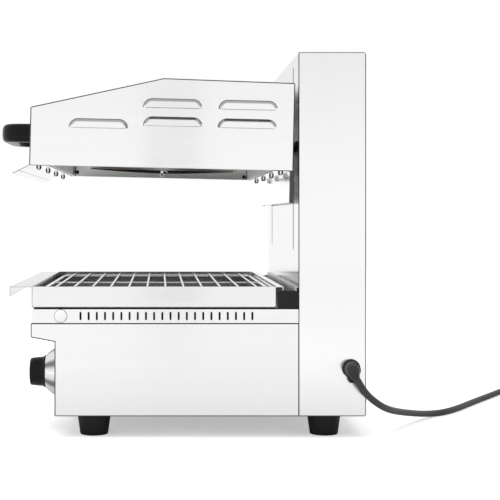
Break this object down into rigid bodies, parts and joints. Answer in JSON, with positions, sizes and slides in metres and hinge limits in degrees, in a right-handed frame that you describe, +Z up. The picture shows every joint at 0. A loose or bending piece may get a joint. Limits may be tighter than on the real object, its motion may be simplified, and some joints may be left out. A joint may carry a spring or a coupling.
{
  "type": "cheese melter",
  "caption": "Table-top electric grill whose heated hood slides up and down on a rear column over a wire rack and drip tray, with a front handle and knob.",
  "frame": {"origin": "on the floor under the middle of the machine's box, cord left aside", "axes": "+Z up, -Y towards the user (handle and knob side), +X to the user's right as they face it"},
  "size_m": [0.5008, 0.9359, 0.5002],
  "materials": {
    "brushed_stainless": "fine horizontal brushing",
    "tray_stainless": "bright rolled sheet",
    "liner_steel": "bright sheet",
    "zinc_steel": "dull zinc plating",
    "black_enamel": "gloss enamel",
    "white_plastic": "gloss",
    "fastener_steel": "plated",
    "black_rubber": "matt",
    "ground_steel": "ground",
    "pulley_nylon": "moulded",
    "wire_rope": "stranded",
    "bronze_bush": "turned",
    "cast_weight": "as cast",
    "bezel_chrome": "polished",
    "rack_chrome": "bright wire",
    "black_moulding": "gloss",
    "lamp_lens": "amber lens",
    "phenolic": "moulded",
    "wire_insulation": "heat resistant sleeve",
    "black_plug_plastic": "moulded",
    "cord_rubber": "satin",
    "element_alloy": "heat-darkened",
    "terminal_ceramic": "unglazed"
  },
  "bodies": {
    "frame": {"base_housing": "brushed_stainless", "base_pan": "zinc_steel", "vent_band": "brushed_stainless", "hole_plugs": "white_plastic", "deck_plate": "black_enamel", "rear_trim_strip": "brushed_stainless", "column_housing": "brushed_stainless", "column_rear_cover": "brushed_stainless", "rear_cover_screws": "fastener_steel", "foot_front_left": "black_rubber", "foot_front_right": "black_rubber", "foot_rear_left": "black_rubber", "foot_rear_right": "black_rubber", "foot_screws": "fastener_steel", "guide_rod_left": "ground_steel", "guide_rod_right": "ground_steel", "weight_guides": "ground_steel", "rod_bracket_bottom": "zinc_steel", "rod_bracket_top": "zinc_steel", "pulley_brackets": "zinc_steel", "pulley_axles": "ground_steel", "rope_wraps": "wire_rope", "lift_buffers": "black_rubber", "control_bezel": "bezel_chrome", "pilot_lamp": "lamp_lens", "energy_regulator": "phenolic", "terminal_block": "phenolic", "supply_tail": "wire_insulation", "regulator_leads": "wire_insulation", "cable_gland": "black_plug_plastic", "power_cord": "cord_rubber", "cord_coil": "cord_rubber", "mains_plug": "black_plug_plastic"},
    "head": {"hood": "brushed_stainless", "head_liner": "liner_steel", "visor": "brushed_stainless", "rear_skirt": "brushed_stainless", "acorn_nuts": "fastener_steel", "element_front": "element_alloy", "element_rear": "element_alloy", "element_clips": "element_alloy", "element_terminals": "terminal_ceramic", "handle": "black_moulding", "handle_screws": "fastener_steel", "lift_arm_left": "zinc_steel", "lift_arm_right": "zinc_steel", "carriage_plate": "zinc_steel", "bush_blocks": "zinc_steel", "guide_bushes": "bronze_bush", "rope_anchors": "zinc_steel", "rope_head_spans": "wire_rope"},
    "counterweight": {"counterweight": "cast_weight", "rope_weight_spans": "wire_rope"},
    "pulley_left": {"pulley_left": "pulley_nylon"},
    "pulley_right": {"pulley_right": "pulley_nylon"},
    "knob": {"control_knob": "black_moulding", "regulator_spindle": "ground_steel"},
    "tray": {"drip_tray": "tray_stainless"},
    "rack": {"wire_rack": "rack_chrome", "rack_legs": "rack_chrome"}
  },
  "joints": [
    {"name": "head_lift", "type": "slide", "parent": "frame", "child": "head", "axis": [0, 0, 1], "range_m": [-0.1, 0.033], "deforming": ["rope_head_spans"]},
    {"name": "counterweight_lift", "type": "slide", "parent": "frame", "child": "counterweight", "axis": [0, 0, 1], "range_m": [-0.033, 0.1], "deforming": ["rope_weight_spans"]},
    {"name": "pulley_left_turn", "type": "hinge", "parent": "frame", "child": "pulley_left", "pos_m": [-0.06, 0.2175, 0.458], "axis": [-1, 0, 0], "range_deg": [-396, 131]},
    {"name": "pulley_right_turn", "type": "hinge", "parent": "frame", "child": "pulley_right", "pos_m": [0.06, 0.2175, 0.458], "axis": [-1, 0, 0], "range_deg": [-396, 131]},
    {"name": "knob_turn", "type": "hinge", "parent": "frame", "child": "knob", "pos_m": [0.1435, -0.1537, 0.077], "axis": [0, 1, 0], "range_deg": [0, 270]},
    {"name": "tray_pull", "type": "slide", "parent": "frame", "child": "tray", "axis": [0, -1, 0], "range_m": [0, 0.32]},
    {"name": "rack_lift", "type": "slide", "parent": "tray", "child": "rack", "axis": [0, 0, 1], "range_m": [0, 0.04]}
  ],
  "couplings": [
    {"joint": "counterweight_lift", "follows": "head_lift", "ratio": -1},
    {"joint": "pulley_left_turn", "follows": "head_lift", "rad_per_m": 68.966},
    {"joint": "pulley_right_turn", "follows": "head_lift", "rad_per_m": 68.966}
  ]
}
